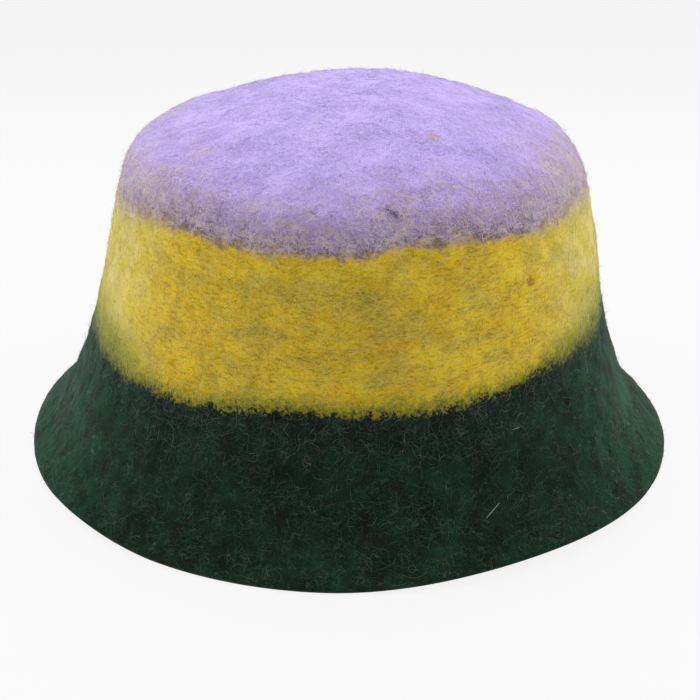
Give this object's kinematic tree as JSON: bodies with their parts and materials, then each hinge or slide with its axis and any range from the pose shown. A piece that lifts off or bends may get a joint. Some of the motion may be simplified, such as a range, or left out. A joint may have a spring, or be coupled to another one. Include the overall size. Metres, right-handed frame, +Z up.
{
  "type": "felt hat",
  "caption": "Seamless wet-felted wool hat with a rounded crown that runs into a short flared brim, in bands of lilac, mustard and dark green.",
  "frame": {"origin": "on the surface the hat rests on, under the middle of its box", "axes": "+Z up out of the crown, front of the hat towards -Y, +X to the hat's left as worn, which is the right side of the picture"},
  "size_m": [0.2436, 0.2436, 0.136],
  "materials": {
    "felt": "matte wet-felted wool with a short fuzz, lilac above, mustard in the middle and dark green below"
  },
  "bodies": {
    "root": {"felt_hat": "felt"}
  },
  "joints": []
}
